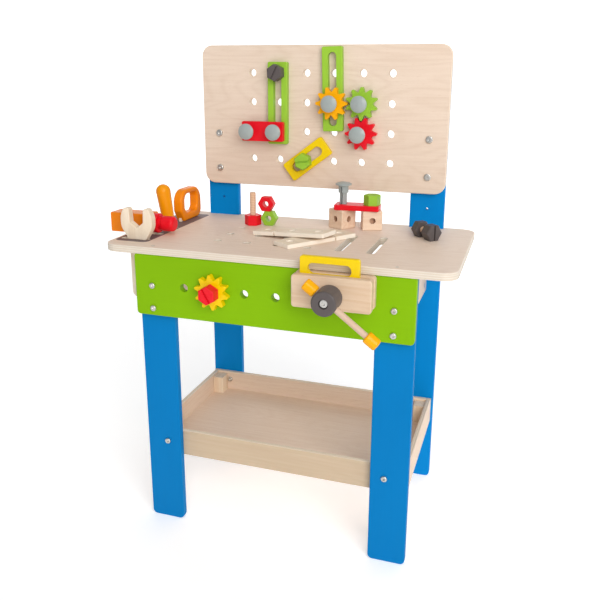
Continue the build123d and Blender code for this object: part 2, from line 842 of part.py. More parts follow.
# The centre bar hangs a little askew on its rivet.
def make_green_bar_centre():
    bar = Rot(0, -centre_bar_turn, 0) * Pos(0, 0, centre_bar_rise) * slotted_bar()
    return Pos(grid_x(3), bar_front_y, grid_z(1)) * bar


def make_peg_plate():
    x = grid_x(2) + peg_plate_shift * cos(radians(peg_plate_turn))
    z = grid_z(3) + peg_plate_shift * sin(radians(peg_plate_turn))
    return Pos(x, peg_plate_y, z) * Rot(0, -peg_plate_turn, 0) * slotted_plate()




# Place on a set-down piece's own spot in front of the pegboard, at height z.
def before_board(spot, z):
    return Pos(spot[0], peg_front_y - spot[1], z)


def make_red_bolt():
    bolt = Rot(0, 0, red_bolt_turn) * Rot(180, 0, 0) * hex_bolt()
    return before_board(red_bolt_spot, surface + hex_head_height) * bolt


# Nut on edge, one flat down, its faces to the front and back.
def standing_nut(shift, z):
    return before_board(green_nut_spot, z) * Pos(shift, nut_height, 0) * Rot(90, 0, 0) * hex_nut()


def make_green_nut():
    return standing_nut(0, surface + hex_flats / 2)


def make_red_nut():
    return standing_nut(red_nut_shift, surface + rest_gap + hex_flats * 1.5)


def plank():
    piece = flat_board(plank_length, plank_width, plank_thick, 2.0, piece_edge_round)
    for number in (-1, 0, 1):
        piece -= rod_z(number * grid_pitch, 0, -1, plank_thick + 1, grid_hole_dia)
    kerf_x = plank_length / 2 - plank_kerf_from_end
    piece -= block(kerf_x - plank_kerf_width / 2, kerf_x + plank_kerf_width / 2, -plank_width,
                   -plank_width / 2 + plank_kerf_depth, -1, plank_thick + 1)
    return piece


def make_lower_plank():
    return before_board(lower_plank_spot, surface) * Rot(0, 0, lower_plank_turn) * plank()


# The upper plank leans from the tabletop up onto the lower plank.
def make_upper_plank():
    piece = Pos(plank_length / 2, plank_width / 2, 0) * Rot(0, 0, 180) * mirror(plank(), Plane.XZ)
    piece = Rot(0, 0, upper_plank_turn) * Rot(0, -upper_plank_tilt, 0) * piece
    return before_board(upper_plank_spot, surface + rest_gap) * piece


def make_cube(spot, turn):
    cube = Pos(0, 0, cube_size / 2) * Box(cube_size, cube_size, cube_size)
    cube = fillet(cube.edges(), cube_round)
    cube -= rod_z(0, 0, -1, cube_size + 1, hex_bore_dia)
    half = cube_size / 2
    for low, high in ((-half - 1, cube_hole_depth - half), (half - cube_hole_depth, half + 1)):
        cube -= rod_y(0, half, low, high, cube_hole_dia)
        cube -= rod_x(0, half, low, high, cube_hole_dia)
    return before_board(spot, surface) * Rot(0, 0, turn) * cube


# Place on the red plank, so far along it from its middle.
def on_red_plank(along, z):
    return before_board(red_plank_spot, z) * Rot(0, 0, red_plank_turn) * Pos(along, 0, 0)


def make_red_plank():
    piece = flat_board(short_bar_length, short_bar_width, plate_thick, bar_corner, piece_edge_round)
    for side in (-1, 1):
        piece -= rod_z(side * grid_pitch / 2, 0, -1, plate_thick + 1, grid_hole_dia)
    return on_red_plank(0, red_plank_under) * piece


def make_green_bolt():
    return on_red_plank(grid_pitch / 2, red_plank_top + rest_gap) * Rot(0, 0, green_bolt_turn) * short_bolt()


# The bolt in the red plank has its shank cut short, so that it ends inside the plank.
def short_bolt():
    keep = Pos(0, 0, hex_head_height) * Box(4 * hex_flats, 4 * hex_flats, 2 * (hex_head_height + plate_thick))
    return hex_bolt() & keep


def make_loose_rivet():
    seat = red_plank_under + rest_gap + rivet_shank_length + rivet_collar_length
    return on_red_plank(-grid_pitch / 2, seat) * Rot(0, 0, loose_rivet_turn) * rivet()


def lying(piece, along):
    place = before_board(dark_bolt_spot, surface + hex_flats / 2) * Rot(0, 0, dark_bolt_turn)
    return place * Pos(0, along, 0) * Rot(90, 0, 0) * piece


def make_dark_bolt():
    return lying(hex_bolt(), hex_head_height)


def make_dark_nut():
    return lying(hex_nut(), hex_head_height + dark_nut_gap + nut_height)


# Closed outline through corner points, each given with its own radius.
def rounded_outline(corners):
    points = [(along, up) for along, up, radius in corners]
    face = make_face(Polyline(points + [points[0]]))
    for along, up, radius in corners:
        corner = face.vertices().sort_by_distance((along, up, 0))[0]
        face = fillet(corner, radius)
    return face


# Hand tools. Each stands in its slot with its head or handle on the tabletop.
def make_wrench():
    head_x = wrench_head_width / 2
    neck_x = wrench_neck_width / 2
    jaw_x = wrench_jaw / 2
    top = wrench_head_height
    jaw_low = top - wrench_jaw_depth
    right = [
        (neck_x, 0, 2.0),
        (head_x, top * 0.40, 24.0),
        (head_x, top * 0.75, 24.0),
        (head_x - wrench_prong_taper, top, 5.0),
        (jaw_x + 1.3, top, 3.5),
        (jaw_x, jaw_low + wrench_vee_rise, 1.5),
    ]
    left = [(-x, z, radius) for x, z, radius in reversed(right)]
    outline = rounded_outline(right + [(0, jaw_low - wrench_vee_rise, 2.5)] + left)
    half = wrench_head_thick / 2
    head = extrude(Plane.XZ * outline, amount=half, both=True)
    rims = head.edges().filter_by_position(Axis.Y, half - 0.01, half + 0.01)
    rims += head.edges().filter_by_position(Axis.Y, -half - 0.01, -half + 0.01)
    head = fillet(rims, wrench_edge_round)
    half_grip = wrench_handle_width / 2
    half_thick = tool_handle_thick / 2
    handle = block(-half_grip, half_grip, -half_thick, half_thick, -wrench_handle_drop, wrench_handle_root)
    handle = fillet(handle.edges().filter_by(Axis.Y).sort_by(Axis.Z)[:2], wrench_handle_round)
    return Pos(wrench_x, wrench_y, surface) * (head + handle)


# The hammer hangs on the shoulder of its handle, so its head is clear of the tabletop.
def hammer_under():
    return surface + hammer_shoulder_height


def hammer_middle_z():
    return hammer_under() + hammer_block / 2


def make_hammer_head():
    half = hammer_block / 2
    piece = block(hammer_x - hammer_block_left, hammer_x + hammer_block_right, hammer_y - half, hammer_y + half,
                  hammer_under(), hammer_under() + hammer_block)
    piece = fillet(piece.edges(), 2.0)
    return piece - hammer_handle_solid()


def hammer_handle_solid():
    half = hammer_handle_width / 2
    half_thick = tool_handle_thick / 2
    handle = block(hammer_x - half, hammer_x + half, hammer_y - half_thick, hammer_y + half_thick,
                   surface - hammer_handle_drop, hammer_under() + hammer_socket_depth)
    wide = half + hammer_shoulder
    deep = half_thick + hammer_shoulder
    return handle + block(hammer_x - wide, hammer_x + wide, hammer_y - deep, hammer_y + deep,
                          surface, hammer_under())


def make_hammer_handle():
    handle = hammer_handle_solid()
    return fillet(handle.edges().filter_by(Axis.Y).sort_by(Axis.Z)[:2], 8)


def make_hammer_face():
    z = hammer_middle_z()
    start = hammer_x + hammer_block_right
    collar_end = start + hammer_collar_length
    neck_end = collar_end + hammer_neck_length
    collar = rod_x(hammer_y, z, start, collar_end, hammer_block)
    collar = fillet(collar.edges().filter_by(GeomType.CIRCLE), 2.0)
    neck = rod_x(hammer_y, z, start, neck_end + 1, hammer_neck_dia)
    face = rod_x(hammer_y, z, neck_end, neck_end + hammer_face_length, hammer_face_dia)
    face = fillet(face.edges().filter_by(GeomType.CIRCLE), hammer_face_round)
    return collar + neck + face


def driver_place(piece):
    lift = driver_collar_dia / 2 * sin(radians(driver_lean)) + rest_gap
    return Pos(driver_x, driver_y, table_height + lift) * Rot(0, -driver_lean, 0) * piece


def make_screwdriver():
    radius = driver_handle_dia / 2
    shaft = driver_shaft_dia / 2
    low = -driver_shaft_length
    crown = driver_handle_length - radius
    diagonal = radius * sin(radians(45))
    profile = [
        Line((0, low), (shaft, low)),
        Line((shaft, low), (shaft, 0)),
        Line((shaft, 0), (driver_collar_dia / 2, 0)),
        Line((driver_collar_dia / 2, 0), (radius, crown)),
        ThreePointArc((radius, crown), (diagonal, crown + diagonal), (0, driver_handle_length)),
        Line((0, driver_handle_length), (0, low)),
    ]
    driver = revolve(Plane.XZ * make_face(Curve() + profile), Axis.Z)
    for side in (-1, 1):
        flat = driver_tip_thick / 2
        driver -= block(-driver_shaft_dia, driver_shaft_dia, min(side * flat, side * driver_shaft_dia),
                        max(side * flat, side * driver_shaft_dia), low - 1, low + driver_tip_length)
    return driver_place(driver)


def make_saw_handle():
    half = saw_handle_thick / 2
    ring = extrude(Plane.YZ * rounded_outline(saw_outer_corners), amount=half, both=True)
    ring -= extrude(Plane.YZ * rounded_outline(saw_inner_corners), amount=saw_handle_thick, both=True)
    rims = ring.edges().filter_by_position(Axis.X, half - 0.01, half + 0.01)
    rims += ring.edges().filter_by_position(Axis.X, -half - 0.01, -half + 0.01)
    ring = Pos(saw_x, saw_front_y, surface) * fillet(rims, saw_handle_round)
    return ring - saw_blade_solid()


def saw_blade_solid():
    middle = saw_front_y + saw_handle_length / 2
    half = saw_blade_length / 2
    return block(saw_x - saw_blade_thick / 2, saw_x + saw_blade_thick / 2, middle - half, middle + half,
                 surface - saw_blade_drop, surface + saw_blade_socket)


def make_saw_blade():
    blade = saw_blade_solid()
    low = surface - saw_blade_drop
    front = saw_front_y + (saw_handle_length - saw_blade_length) / 2
    count = int((saw_blade_drop - table_thick - 12) / saw_tooth_pitch)
    for number in range(count):
        z = low + (number + 0.5) * saw_tooth_pitch
        half = saw_tooth_pitch / 2
        notch = Polyline((0, -half), (saw_tooth_depth, 0), (0, half), (0, -half))
        cut = extrude(Plane.YZ * make_face(notch), amount=saw_blade_thick, both=True)
        blade -= Pos(saw_x, front, z) * cut
    return blade


def build_all():
    pieces = {
        "tabletop": make_tabletop(),
        "front_apron": make_apron(),
        "side_panel_left": make_side_panel(-1),
        "side_panel_right": make_side_panel(1),
        "front_leg_left": make_front_leg(-1),
        "front_leg_right": make_front_leg(1),
        "rear_leg_left": make_rear_leg(-1),
        "rear_leg_right": make_rear_leg(1),
        "pegboard": make_pegboard(),
        "tray_floor": make_tray_floor(),
        "tray_front": make_tray_long_wall(tray_front_y),
        "tray_back": make_tray_long_wall(tray_back_y - tray_wall),
        "tray_sides": make_tray_sides(),
        "tray_blocks": make_tray_blocks(),
        "frame_bolts": make_frame_bolts(),
        "barrel_nuts": make_barrel_nuts(),
        "pegboard_bolts": make_peg_bolts(),
        "table_screws": make_table_screws(),
        "vise_fixed_jaw": make_fixed_jaw(),
        "vise_nut_block": make_nut_block(),
        "vise_jaw": make_moving_jaw(),
        "vise_guide_pins": make_guide_pins(),
        "vise_screw": make_vise_screw(),
        "vise_knob": make_knob(),
        "knob_bolt": make_knob_bolt(),
        "tommy_bar": make_tommy_bar(),
        "tommy_caps": make_tommy_caps(),
        "grip_plate": make_grip_plate(),
        "green_bar_left": make_green_bar_left(),
        "green_bar_centre": make_green_bar_centre(),
        "red_bar": make_red_bar(),
        "peg_plate": make_peg_plate(),
        "peg_rivets": make_peg_rivets(),
        "orange_gear": make_peg_gear(3, 1, bar_front_y - gear_play - gear_thick, 0),
        "green_gear": make_peg_gear(4, 1, peg_gear_front_y, 180 / gear_teeth),
        "red_gear": make_peg_gear(4, 2, peg_gear_front_y, 0),
        "yellow_gear": make_apron_gear(),
        "dark_peg_bolt": bolt_into_board(grid_x(1), grid_z(0), bar_front_y, dark_peg_bolt_turn),
        "green_peg_bolt": bolt_into_board(grid_x(2), grid_z(3), peg_plate_y, green_peg_bolt_turn),
        "red_apron_bolt": bolt_into_board(apron_gear_x, apron_hole_z, apron_bolt_seat_y, red_apron_bolt_turn),
        "bolt_nuts": make_bolt_nuts(),
        "red_bolt": make_red_bolt(),
        "green_nut": make_green_nut(),
        "red_nut": make_red_nut(),
        "lower_plank": make_lower_plank(),
        "upper_plank": make_upper_plank(),
        "cube_left": make_cube(cube_left_spot, cube_left_turn),
        "cube_right": make_cube(cube_right_spot, cube_right_turn),
        "red_plank": make_red_plank(),
        "green_bolt": make_green_bolt(),
        "loose_rivet": make_loose_rivet(),
        "dark_bolt": make_dark_bolt(),
        "dark_nut": make_dark_nut(),
        "hammer_head": make_hammer_head(),
        "hammer_face": make_hammer_face(),
        "hammer_handle": make_hammer_handle(),
        "wrench": make_wrench(),
        "screwdriver": make_screwdriver(),
        "saw_handle": make_saw_handle(),
        "saw_blade": make_saw_blade(),
    }
    return pieces


# The library frame has its origin under the middle of the whole bench, on the floor.
def frame_shift(pieces):
    boxes = [piece.bounding_box() for piece in pieces.values()]
    x = (min(box.min.X for box in boxes) + max(box.max.X for box in boxes)) / 2
    y = (min(box.min.Y for box in boxes) + max(box.max.Y for box in boxes)) / 2
    z = min(box.min.Z for box in boxes)
    return Pos(-x, -y, -z)


pieces = build_all()
shift = frame_shift(pieces)
os.makedirs("parts", exist_ok=True)
for name, piece in pieces.items():
    export_step(shift * piece, f"parts/{name}.step")
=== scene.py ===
import math

import bpy
import numpy as np
from mathutils import Matrix, Vector


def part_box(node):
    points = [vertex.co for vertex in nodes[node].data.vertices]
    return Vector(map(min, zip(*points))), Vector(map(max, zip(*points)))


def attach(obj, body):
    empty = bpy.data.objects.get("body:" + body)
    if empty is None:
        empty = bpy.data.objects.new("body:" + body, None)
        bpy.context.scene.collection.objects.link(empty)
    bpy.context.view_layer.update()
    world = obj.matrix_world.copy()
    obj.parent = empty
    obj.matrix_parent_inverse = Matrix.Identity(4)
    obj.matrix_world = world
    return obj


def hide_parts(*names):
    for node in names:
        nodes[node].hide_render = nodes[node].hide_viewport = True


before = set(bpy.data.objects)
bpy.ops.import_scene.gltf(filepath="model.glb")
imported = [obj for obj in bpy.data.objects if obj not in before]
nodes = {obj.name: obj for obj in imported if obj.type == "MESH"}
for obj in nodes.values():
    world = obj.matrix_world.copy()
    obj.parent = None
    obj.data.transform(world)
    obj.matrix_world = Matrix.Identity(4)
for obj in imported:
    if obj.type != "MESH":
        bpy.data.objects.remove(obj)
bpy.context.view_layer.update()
print("frame loaded:", len(nodes), "nodes")

mm = 0.001
tableOverhang = 4.0 * mm  # the worktop's front edge stands this far before the apron
topLow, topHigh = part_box("tabletop")
worktopHeight = topHigh.z / mm
# the bench's own origin: its middle, the apron's face, the floor
benchShift = Vector(((topLow.x + topHigh.x) / 2, topLow.y + tableOverhang, 0.0))
zero = (0.0, 0.0, 0.0)


def benchPoint(x, y, z):  # millimetres on the bench to metres in the library frame
    return Vector((x * mm, y * mm, z * mm)) + benchShift


# colours are sRGB hex, patterns are sized in real millimetres

def linearColour(code):  # sRGB hex to linear red, green, blue, alpha
    parts = np.array([int(code[i:i + 2], 16) for i in (1, 3, 5)]) / 255.0
    low = parts / 12.92
    high = ((parts + 0.055) / 1.055) ** 2.4
    return (*np.where(parts <= 0.04045, low, high).tolist(), 1.0)


def addNode(tree, kind, links=None, **settings):  # one node: its settings, then its inputs by value or link
    node = tree.nodes.new(kind)
    for key, value in settings.items():
        setattr(node, key, value)
    for socket, value in (links or {}).items():
        if isinstance(value, bpy.types.NodeSocket):
            tree.links.new(value, node.inputs[socket])
        else:
            node.inputs[socket].default_value = value
    return node


def newMaterial(name):
    material = bpy.data.materials.new(name)
    material.use_nodes = True
    tree = material.node_tree
    tree.nodes.clear()
    output = addNode(tree, "ShaderNodeOutputMaterial")
    shader = addNode(tree, "ShaderNodeBsdfPrincipled")
    tree.links.new(shader.outputs[0], output.inputs[0])
    return material, tree, shader


cloudMm = (210.0, 120.0)  # slow light and dark patches of the wood
cloudShift = (2.0, 5.0, 1.0)
woodRange = (0.22, 0.78)  # where the summed layers reach the pale and the dark colour
fleckRange = (0.60, 0.72)  # where the fine noise turns into a fleck
faceRange = (0.55, 0.85)  # how squarely a surface faces along an axis, from a board's edge to its face


def perMetre(sizes):  # feature sizes in millimetres along x, y, z to texture scales
    return tuple(1000.0 / s for s in sizes)


# Wood grain along one axis: contour lines of a slow field, fine streaks, short flecks and a slow cloud.
def grainPattern(tree, grain):
    place = addNode(tree, "ShaderNodeTexCoord").outputs["Object"]
    links = {"Vector": place, "Rotation": grain["turn"]}
    turned = addNode(tree, "ShaderNodeMapping", links, vector_type="TEXTURE").outputs[0]

    def stretchedNoise(sizes, shift=zero, **inputs):  # drawn out along the grain: sizes along and across it
        size = [sizes[1]] * 3
        size[grain["axis"]] = sizes[0]
        links = {"Vector": turned, "Scale": perMetre(size), "Location": shift}
        vector = addNode(tree, "ShaderNodeMapping", links).outputs[0]
        return addNode(tree, "ShaderNodeTexNoise", {"Vector": vector, "Scale": 1.0, **inputs}).outputs[0]

    field = stretchedNoise(grain["figureMm"], grain["shift"], Detail=2.0, Roughness=0.4, Distortion=0.3)
    turns = grain["rings"] * 2 * math.pi
    rings = addNode(tree, "ShaderNodeMath", {0: field, 1: turns}, operation="MULTIPLY")
    wave = addNode(tree, "ShaderNodeMath", {0: rings.outputs[0]}, operation="SINE")
    swell = addNode(tree, "ShaderNodeMapRange", {"Value": wave.outputs[0], "From Min": -1.0, "From Max": 1.0})
    figure = addNode(tree, "ShaderNodeMath", {0: swell.outputs[0], 1: grain["sharp"]}, operation="POWER")
    streak = stretchedNoise(grain["streakMm"], Detail=5.0, Roughness=0.6, Distortion=0.2)
    pore = stretchedNoise(grain["poreMm"], Detail=2.0)
    links = {"Value": pore, "From Min": fleckRange[0], "From Max": fleckRange[1]}
    fleck = addNode(tree, "ShaderNodeMapRange", links)
    cloud = stretchedNoise(cloudMm, cloudShift, Detail=2.0)
    return {"figure": figure.outputs[0], "streak": streak, "fleck": fleck.outputs[0], "cloud": cloud}


# Wood colour: pale to dark by figure, streak and slow cloud in fixed shares, then the flecks.
def woodColour(tree, look, grain):
    total = 0.0
    for layer in ("figure", "streak", "cloud"):
        links = {0: grain[layer], 1: look[layer], 2: total}
        total = addNode(tree, "ShaderNodeMath", links, operation="MULTIPLY_ADD").outputs[0]
    ramp = addNode(tree, "ShaderNodeValToRGB", {"Fac": total})
    for element, position, code in zip(ramp.color_ramp.elements, woodRange, (look["pale"], look["dark"])):
        element.position = position
        element.color = linearColour(code)
    share = addNode(tree, "ShaderNodeMath", {0: grain["fleck"], 1: look["fleckShare"]}, operation="MULTIPLY")
    links = {"Factor": share.outputs[0], 6: ramp.outputs[0], 7: linearColour(look["fleck"])}
    return addNode(tree, "ShaderNodeMix", links, data_type="RGBA").outputs[2]


def facing(tree, axis):  # how squarely the surface faces along one axis of the piece
    normal = addNode(tree, "ShaderNodeTexCoord").outputs["Normal"]
    parts = addNode(tree, "ShaderNodeSeparateXYZ", {0: normal})
    return addNode(tree, "ShaderNodeMath", {0: parts.outputs[axis]}, operation="ABSOLUTE").outputs[0]


plyWobble = {"sizeMm": 26.0, "swingMm": 0.35, "backMm": 0.17}  # the glue lines wander a little
plyMarks = {0.44: "plyPale", 0.49: "glue", 0.54: "plyDark", 0.93: "plyDark", 0.97: "glue"}


def plyEdge(tree, look, axis, low, thick):  # cross bands of the plies with thin dark glue lines
    place = addNode(tree, "ShaderNodeTexCoord").outputs["Object"]
    parts = addNode(tree, "ShaderNodeSeparateXYZ", {0: place})
    links = {"Vector": place, "Scale": 1000.0 / plyWobble["sizeMm"], "Detail": 2.0}
    wobble = addNode(tree, "ShaderNodeTexNoise", links)
    links = {0: wobble.outputs[0], 1: plyWobble["swingMm"] * mm, 2: -low - plyWobble["backMm"] * mm}
    drift = addNode(tree, "ShaderNodeMath", links, operation="MULTIPLY_ADD")
    depth = addNode(tree, "ShaderNodeMath", {0: parts.outputs[axis], 1: drift.outputs[0]}, operation="ADD")
    pairs = look["plies"] / thick / 2.0  # pale and dark plies take turns
    count = addNode(tree, "ShaderNodeMath", {0: depth.outputs[0], 1: pairs}, operation="MULTIPLY")
    step = addNode(tree, "ShaderNodeMath", {0: count.outputs[0]}, operation="FRACT")
    ramp = addNode(tree, "ShaderNodeValToRGB", {"Fac": step.outputs[0]})
    elements = ramp.color_ramp.elements
    elements[0].color = elements[1].color = linearColour(look["plyPale"])
    for position, layer in plyMarks.items():
        elements.new(position).color = linearColour(look[layer])
    return ramp.outputs[0]


def surfaceRelief(tree, shader, height, skin):  # bump of a real depth, roughness about a base, gloss
    links = {"Height": height, "Strength": 1.0, "Distance": skin["reliefMm"] * mm}
    bump = addNode(tree, "ShaderNodeBump", links)
    tree.links.new(bump.outputs[0], shader.inputs["Normal"])
    low, high = skin["rough"] - skin["swing"], skin["rough"] + skin["swing"]
    rough = addNode(tree, "ShaderNodeMapRange", {"Value": height, "To Min": low, "To Max": high})
    tree.links.new(rough.outputs[0], shader.inputs["Roughness"])
    shader.inputs["Specular IOR Level"].default_value = skin["specular"]


birchLook = {
    "pale": "#E1CEBC", "dark": "#D1B9A4", "figure": 0.13, "streak": 0.56, "cloud": 0.24,
    "fleck": "#C39F80", "fleckShare": 0.30,
    "plyPale": "#E4D6C2", "plyDark": "#D8C3A9", "glue": "#BFA387", "plies": 5.0,
    "reliefMm": 0.04, "rough": 0.52, "swing": 0.08, "specular": 0.3,
}
birchGrain = {
    "figureMm": (480.0, 92.0), "rings": 27.0, "sharp": 2.6, "streakMm": (120.0, 3.4), "poreMm": (9.0, 0.9),
    "shift": (3.1, 7.7, 1.9), "turn": zero,
}
beechLook = {
    "pale": "#F1DEC4", "dark": "#E2C4A4", "figure": 0.25, "streak": 0.45, "cloud": 0.30,
    "fleck": "#C29A72", "fleckShare": 0.35,
    "reliefMm": 0.05, "rough": 0.5, "swing": 0.08, "specular": 0.3,
}
beechGrain = {
    "figureMm": (150.0, 16.0), "rings": 4.0, "sharp": 1.2, "streakMm": (60.0, 2.2), "poreMm": (4.0, 0.5),
    "shift": (1.3, 2.9, 4.1), "turn": zero,
}


# Birch plywood, rotary cut, sanded and clear lacquered: pale face with faint flame figure, banded edge and
# a silky gloss.
def birchPlywood(name, grainAxis, thinAxis, low, thick, look=birchLook, shift=birchGrain["shift"]):
    material, tree, shader = newMaterial(name)
    grain = grainPattern(tree, {**birchGrain, "axis": grainAxis, "shift": shift})
    face = woodColour(tree, look, grain)
    edge = plyEdge(tree, look, thinAxis, low, thick)
    square = facing(tree, thinAxis)
    links = {"Value": square, "From Min": faceRange[0], "From Max": faceRange[1]}
    flat = addNode(tree, "ShaderNodeMapRange", links)
    links = {"Factor": flat.outputs[0], 6: edge, 7: face}
    both = addNode(tree, "ShaderNodeMix", links, data_type="RGBA").outputs[2]
    tree.links.new(both, shader.inputs["Base Color"])
    surfaceRelief(tree, shader, grain["streak"], look)
    return material, tree, shader, both


# Painted shade in a cube's bores: the wood darkens to a warm brown with depth under the nearest flat face,
# from the rim to the full share.
def boreShadeWood(tree, wood, boreShade):
    place = addNode(tree, "ShaderNodeTexCoord").outputs["Object"]
    links = {"Vector": place, "Location": boreShade["middle"], "Rotation": boreShade["turn"]}
    local = addNode(tree, "ShaderNodeMapping", links, vector_type="TEXTURE")
    parts = addNode(tree, "ShaderNodeSeparateXYZ", {0: local.outputs[0]})
    most = 0.0
    for part in parts.outputs:
        reach = addNode(tree, "ShaderNodeMath", {0: part}, operation="ABSOLUTE").outputs[0]
        most = addNode(tree, "ShaderNodeMath", {0: most, 1: reach}, operation="MAXIMUM").outputs[0]
    rim = boreShade["half"] - boreShade["rimMm"] * mm
    full = boreShade["half"] - boreShade["fullMm"] * mm
    links = {"Value": most, "From Min": rim, "From Max": full, "To Max": boreShade["share"]}
    share = addNode(tree, "ShaderNodeMapRange", links)
    links = {"Factor": share.outputs[0], 6: wood, 7: linearColour(boreShade["colour"])}
    return addNode(tree, "ShaderNodeMix", links, data_type="RGBA").outputs[2]


# Solid beech, planed and clear lacquered: faint short flecks along the grain and a silky gloss. Upright
# surfaces can be paler than the flat ones, and bores get painted shade.
def lacqueredBeech(name, axis, turn=zero, look=beechLook, boreShade=None):
    material, tree, shader = newMaterial(name)
    grain = grainPattern(tree, {**beechGrain, "axis": axis, "turn": turn})
    wood = woodColour(tree, look, grain)
    if "edge" in look:
        links = {"Value": facing(tree, 2), "From Min": faceRange[1], "From Max": faceRange[0],
                 "To Max": look["edgeShare"]}
        side = addNode(tree, "ShaderNodeMapRange", links)
        links = {"Factor": side.outputs[0], 6: wood, 7: linearColour(look["edge"])}
        wood = addNode(tree, "ShaderNodeMix", links, data_type="RGBA").outputs[2]
    # painted shade deepening into the bores
    if boreShade:
        wood = boreShadeWood(tree, wood, boreShade)
    tree.links.new(wood, shader.inputs["Base Color"])
    surfaceRelief(tree, shader, grain["streak"], look)
    return material


boardPaint = {
    "rough": 0.48, "swing": 0.06, "specular": 0.07, "coat": 0.0, "coatRough": 0.2, "reliefMm": 0.035,
    "grainMm": (90.0, 3.0), "peelMm": 1.8, "shadeFrom": (0.4, 1.1), "shade": (0.94, 1.05), "grainShow": 0.55,
}
piecePaint = {
    **boardPaint, "rough": 0.42, "specular": 0.06, "coat": 0.32, "grainMm": (90.0, 2.0), "peelMm": 1.4,
    "reliefMm": 0.025,
}


# Water-based enamel sprayed on sanded wood: even colour, faint grain and orange peel under a satin film.
def satinEnamel(name, code, axis, finish):
    material, tree, shader = newMaterial(name)
    grain = grainPattern(tree, {**birchGrain, "axis": axis, "streakMm": finish["grainMm"]})
    place = addNode(tree, "ShaderNodeTexCoord").outputs["Object"]
    links = {"Vector": place, "Scale": 1000.0 / finish["peelMm"], "Detail": 2.0}
    peel = addNode(tree, "ShaderNodeTexNoise", links)
    links = {0: grain["streak"], 1: 0.5, 2: grain["cloud"]}
    mixed = addNode(tree, "ShaderNodeMath", links, operation="MULTIPLY_ADD")
    (fromLow, fromHigh), (toLow, toHigh) = finish["shadeFrom"], finish["shade"]
    links = {"Value": mixed.outputs[0], "From Min": fromLow, "From Max": fromHigh, "To Min": toLow,
             "To Max": toHigh}
    shade = addNode(tree, "ShaderNodeMapRange", links)
    links = {"Color": linearColour(code), "Value": shade.outputs[0]}
    colour = addNode(tree, "ShaderNodeHueSaturation", links)
    tree.links.new(colour.outputs[0], shader.inputs["Base Color"])
    links = {0: grain["streak"], 1: finish["grainShow"], 2: peel.outputs[0]}
    film = addNode(tree, "ShaderNodeMath", links, operation="MULTIPLY_ADD")
    surfaceRelief(tree, shader, film.outputs[0], finish)
    shader.inputs["Coat Weight"].default_value = finish["coat"]
    shader.inputs["Coat Roughness"].default_value = finish["coatRough"]
    return material


steelLook = {
    "dull": "#B4B2AE", "bright": "#DCDAD6", "cloudMm": 6.0, "scratchMm": 0.9,
    "reliefMm": 0.03, "rough": 0.3, "swing": 0.1, "specular": 0.5,
}


# Zinc-plated steel, turned and tumbled: bright grey metal with a fine mottle of soft scratches.
def platedSteel(name, look):
    material, tree, shader = newMaterial(name)
    place = addNode(tree, "ShaderNodeTexCoord").outputs["Object"]
    links = {"Vector": place, "Scale": 1000.0 / look["scratchMm"], "Detail": 4.0}
    scratch = addNode(tree, "ShaderNodeTexNoise", links)
    links = {"Vector": place, "Scale": 1000.0 / look["cloudMm"], "Detail": 2.0}
    cloud = addNode(tree, "ShaderNodeTexNoise", links)
    links = {"Factor": cloud.outputs[0], 6: linearColour(look["dull"]), 7: linearColour(look["bright"])}
    colour = addNode(tree, "ShaderNodeMix", links, data_type="RGBA")
    tree.links.new(colour.outputs[2], shader.inputs["Base Color"])
    shader.inputs["Metallic"].default_value = 1.0
    surfaceRelief(tree, shader, scratch.outputs[0], look)
    return material


rivetLook = {
    "colour": "#9AA2A0", "mottleMm": 9.0, "shade": (0.93, 1.06), "fineMm": 0.8,
    "reliefMm": 0.02, "rough": 0.38, "swing": 0.06, "specular": 0.2, "coat": 0.4, "coatRough": 0.16,
}


# Moulded grey plastic of the push rivets: smooth satin skin with a faint flow mottle.
def mouldedGrey(name, look):
    material, tree, shader = newMaterial(name)
    place = addNode(tree, "ShaderNodeTexCoord").outputs["Object"]
    links = {"Vector": place, "Scale": 1000.0 / look["mottleMm"], "Detail": 3.0}
    mottle = addNode(tree, "ShaderNodeTexNoise", links)
    links = {"Vector": place, "Scale": 1000.0 / look["fineMm"], "Detail": 2.0}
    fine = addNode(tree, "ShaderNodeTexNoise", links)
    links = {"Value": mottle.outputs[0], "To Min": look["shade"][0], "To Max": look["shade"][1]}
    shade = addNode(tree, "ShaderNodeMapRange", links)
    links = {"Color": linearColour(look["colour"]), "Value": shade.outputs[0]}
    colour = addNode(tree, "ShaderNodeHueSaturation", links)
    tree.links.new(colour.outputs[0], shader.inputs["Base Color"])
    surfaceRelief(tree, shader, fine.outputs[0], look)
    shader.inputs["Coat Weight"].default_value = look["coat"]
    shader.inputs["Coat Roughness"].default_value = look["coatRough"]
    return material


def dress(material, *names):  # one finish on whole CAD nodes
    for name in names:
        mesh = nodes[name].data
        mesh.materials.clear()
        mesh.materials.append(material)


# the rear legs get a paler copy of the legs' blue: painted light that lifts them where the bench shades them
enamel = {
    "blue": "#0074B4", "litRearBlue": "#0081CA", "green": "#7EAF0A", "lime": "#92BE38", "red": "#E21424",
    "orange": "#E47C04", "tangerine": "#F08806", "amber": "#EA9402", "marigold": "#F2A800",
    "yellow": "#E8C600", "dark": "#585150",
}

# painted light: the worktop gets a paler copy of the birch to lift its up-facing top, which the lamps light
# less than the upright boards; its edge is greyer. The tray's thinner ply is plainer, and its inside boards
# get a paler copy, painted light lifting the shade inside the tray; the front stays darker
litWorktopLook = {
    **birchLook, "pale": "#E9D6C5", "dark": "#DAC2AE",
    "plyPale": "#DAD0C2", "plyDark": "#D2C4B2", "glue": "#BDA893", "plies": 7.0,
}
litTrayLook = {**birchLook, "pale": "#EBD5C0", "dark": "#DCBFA6", "figure": 0.08, "streak": 0.6}
trayFrontLook = {**litTrayLook, "pale": "#C8B398", "dark": "#B9A084"}
